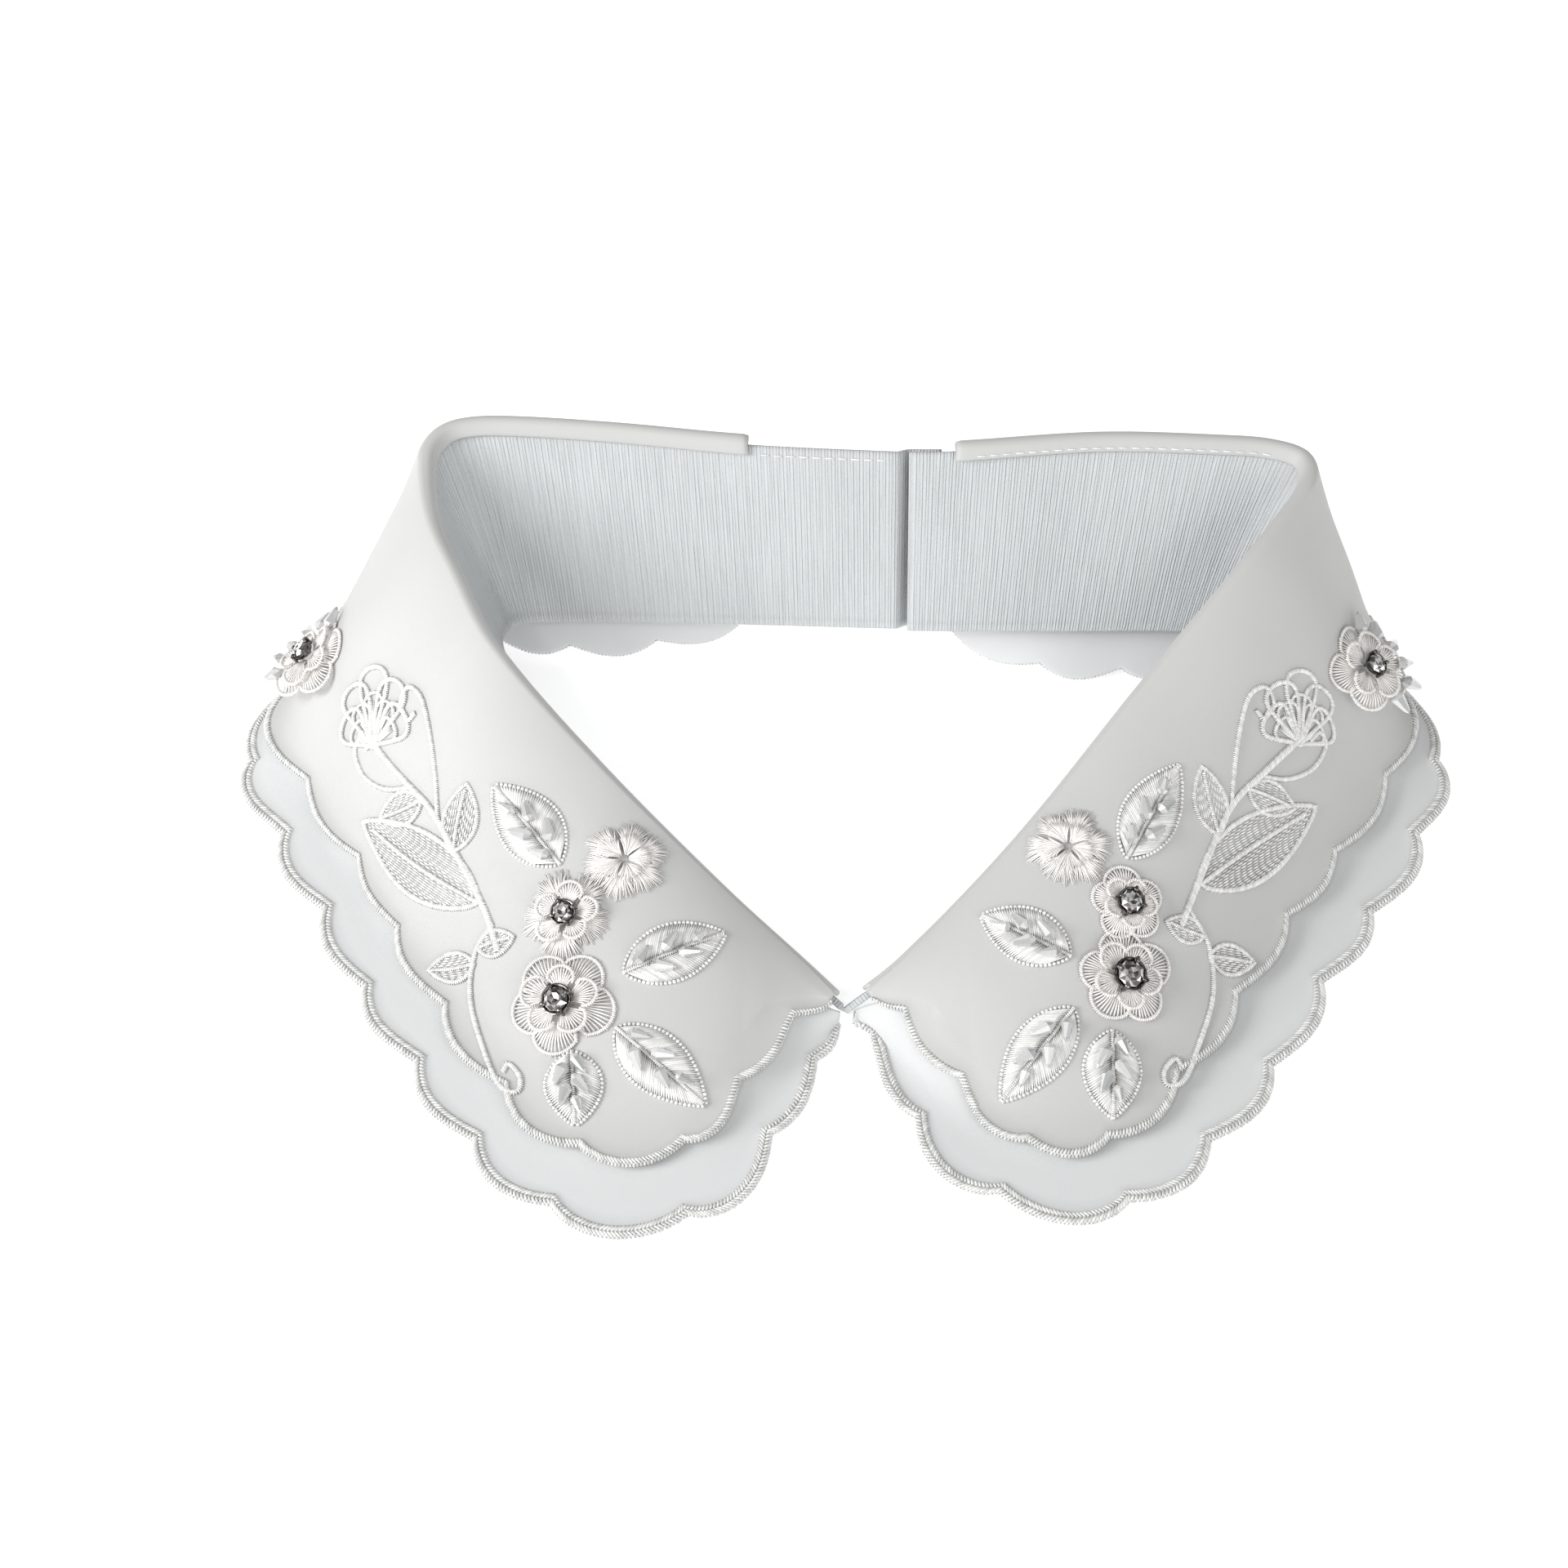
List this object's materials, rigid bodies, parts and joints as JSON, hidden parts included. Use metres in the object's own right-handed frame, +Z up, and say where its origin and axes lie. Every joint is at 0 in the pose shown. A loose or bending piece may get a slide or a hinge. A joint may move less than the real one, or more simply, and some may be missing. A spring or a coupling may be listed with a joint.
{
  "type": "detachable collar",
  "caption": "Detachable white collar with two scalloped, layered wings on a stand band, trimmed with thread flowers, beaded leaves and set stones.",
  "frame": {"origin": "middle of the footprint, on the table", "axes": "+X across to the right as seen from the front opening, +Y to the back of the neck, +Z up"},
  "size_m": [0.257, 0.1738, 0.048],
  "materials": {
    "cloth": "matte plain weave",
    "thread": "satin stitch",
    "silver": "polished",
    "stone": "cut and clear"
  },
  "bodies": {
    "root": {"neck_band": "cloth", "closure_patch": "cloth", "left_under_layer": "cloth", "left_upper_layer": "cloth", "left_sprig": "thread", "left_rising_leaf": "thread", "left_inner_leaf": "thread", "left_slanting_leaf": "thread", "left_hanging_leaf": "thread", "left_shoulder_flower": "thread", "left_small_flower": "thread", "left_upper_flower": "thread", "left_large_flower": "thread", "left_shoulder_setting": "silver", "left_shoulder_stone": "stone", "left_upper_setting": "silver", "left_upper_stone": "stone", "left_large_setting": "silver", "left_large_stone": "stone", "right_under_layer": "cloth", "right_upper_layer": "cloth", "right_sprig": "thread", "right_rising_leaf": "thread", "right_inner_leaf": "thread", "right_slanting_leaf": "thread", "right_hanging_leaf": "thread", "right_shoulder_flower": "thread", "right_small_flower": "thread", "right_upper_flower": "thread", "right_large_flower": "thread", "right_shoulder_setting": "silver", "right_shoulder_stone": "stone", "right_upper_setting": "silver", "right_upper_stone": "stone", "right_large_setting": "silver", "right_large_stone": "stone"}
  },
  "joints": []
}
